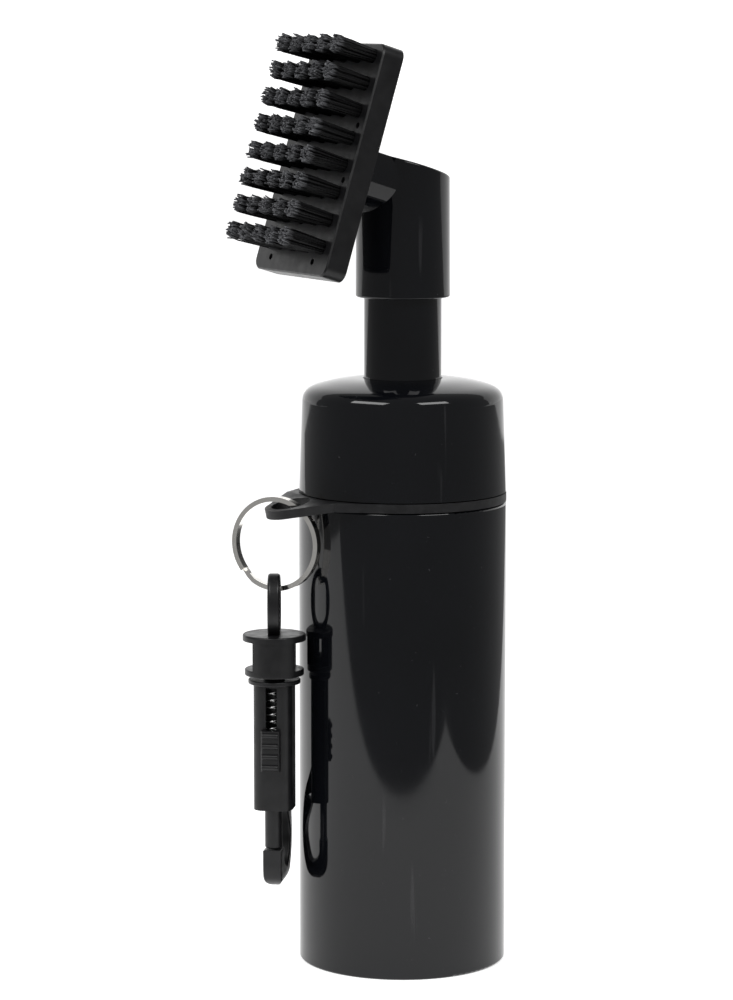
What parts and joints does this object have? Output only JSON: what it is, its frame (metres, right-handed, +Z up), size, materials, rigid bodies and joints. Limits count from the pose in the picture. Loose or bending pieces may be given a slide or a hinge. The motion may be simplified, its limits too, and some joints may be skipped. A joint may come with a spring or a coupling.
{
  "type": "golf club groove brush",
  "caption": "Tilted nylon tuft brush head on a press-down water stem, over a round screw-cap bottle, with a rubber tab, split ring and swivel snap hook.",
  "frame": {"origin": "centre of the bottle's flat foot, on the surface that it stands on", "axes": "+Z up the bottle's axis; the brush faces -X with its tufts pointing up 17 degrees; +Y completes a right-handed frame"},
  "size_m": [0.055, 0.042, 0.1883],
  "materials": {
    "gloss_black": "polished moulded plastic, mirror-like",
    "satin_black": "satin moulded plastic",
    "black_rubber": "matte soft rubber",
    "seal_rubber": "matte",
    "white_acetal": "natural moulded",
    "spring_steel": "drawn wire",
    "anchor_brass": "flat wire",
    "bright_nickel": "bright plated",
    "nylon_tuft": "matte filaments with greyish cut ends"
  },
  "bodies": {
    "bottle": {"bottle": "gloss_black"},
    "gasket": {"cap_gasket": "seal_rubber"},
    "cap": {"cap": "gloss_black", "stem_guide": "white_acetal", "stem_seal": "seal_rubber", "spring_cage": "white_acetal", "valve_seat": "seal_rubber", "return_spring": "spring_steel"},
    "head": {"stem_tube": "gloss_black", "valve_rod": "white_acetal", "valve_plug": "seal_rubber", "head_sleeve": "gloss_black", "brush_plate": "satin_black", "plate_cover": "satin_black", "spigot_seal": "seal_rubber", "tuft_anchors": "anchor_brass", "tuft_row_1": "nylon_tuft", "tuft_row_2": "nylon_tuft", "tuft_row_3": "nylon_tuft", "tuft_row_4": "nylon_tuft", "tuft_row_5": "nylon_tuft", "tuft_row_6": "nylon_tuft", "tuft_row_7": "nylon_tuft", "tuft_row_8": "nylon_tuft"},
    "hanger": {"hanger_ring": "black_rubber"},
    "ring": {"split_ring": "bright_nickel"},
    "eye": {"swivel_eye": "satin_black"},
    "hook": {"hook_body": "satin_black", "gate_spring": "spring_steel"},
    "gate": {"gate_bolt": "satin_black", "thumb_slide": "satin_black"}
  },
  "joints": [
    {"name": "cap_rise", "type": "slide", "parent": "bottle", "child": "gasket", "axis": [0, 0, 1], "range_m": [0, 0.006]},
    {"name": "cap_unscrew", "type": "hinge", "parent": "gasket", "child": "cap", "pos_m": [0, 0, 0.1], "axis": [0, 0, 1], "range_deg": [0, 540]},
    {"name": "head_press", "type": "slide", "parent": "cap", "child": "head", "axis": [0, 0, -1], "range_m": [0, 0.008], "stiffness_N_per_m": 450, "springref_m": -0.008, "deforming": ["return_spring"]},
    {"name": "hanger_turn", "type": "hinge", "parent": "bottle", "child": "hanger", "pos_m": [0, 0, 0.0952], "axis": [0, 0, 1], "continuous": true},
    {"name": "ring_swing", "type": "hinge", "parent": "hanger", "child": "ring", "pos_m": [-0.02735, 0.0027, 0.0946], "axis": [-0.5976, 0.8018, 0], "range_deg": [0, 20]},
    {"name": "eye_swing", "type": "hinge", "parent": "ring", "child": "eye", "pos_m": [-0.02735, 0.0027, 0.0779], "axis": [-0.5976, 0.8018, 0], "range_deg": [0, 40]},
    {"name": "hook_swivel", "type": "hinge", "parent": "eye", "child": "hook", "pos_m": [-0.02765, 0.0031, 0.0603], "axis": [0, 0, 1], "range_deg": [-5, 235]},
    {"name": "gate_slide", "type": "slide", "parent": "hook", "child": "gate", "axis": [0, 0, 1], "range_m": [0, 0.0074], "stiffness_N_per_m": 120, "springref_m": -0.006, "deforming": ["gate_spring"]}
  ],
  "couplings": [
    {"joint": "cap_rise", "follows": "cap_unscrew", "m_per_rad": 0.00063662}
  ]
}
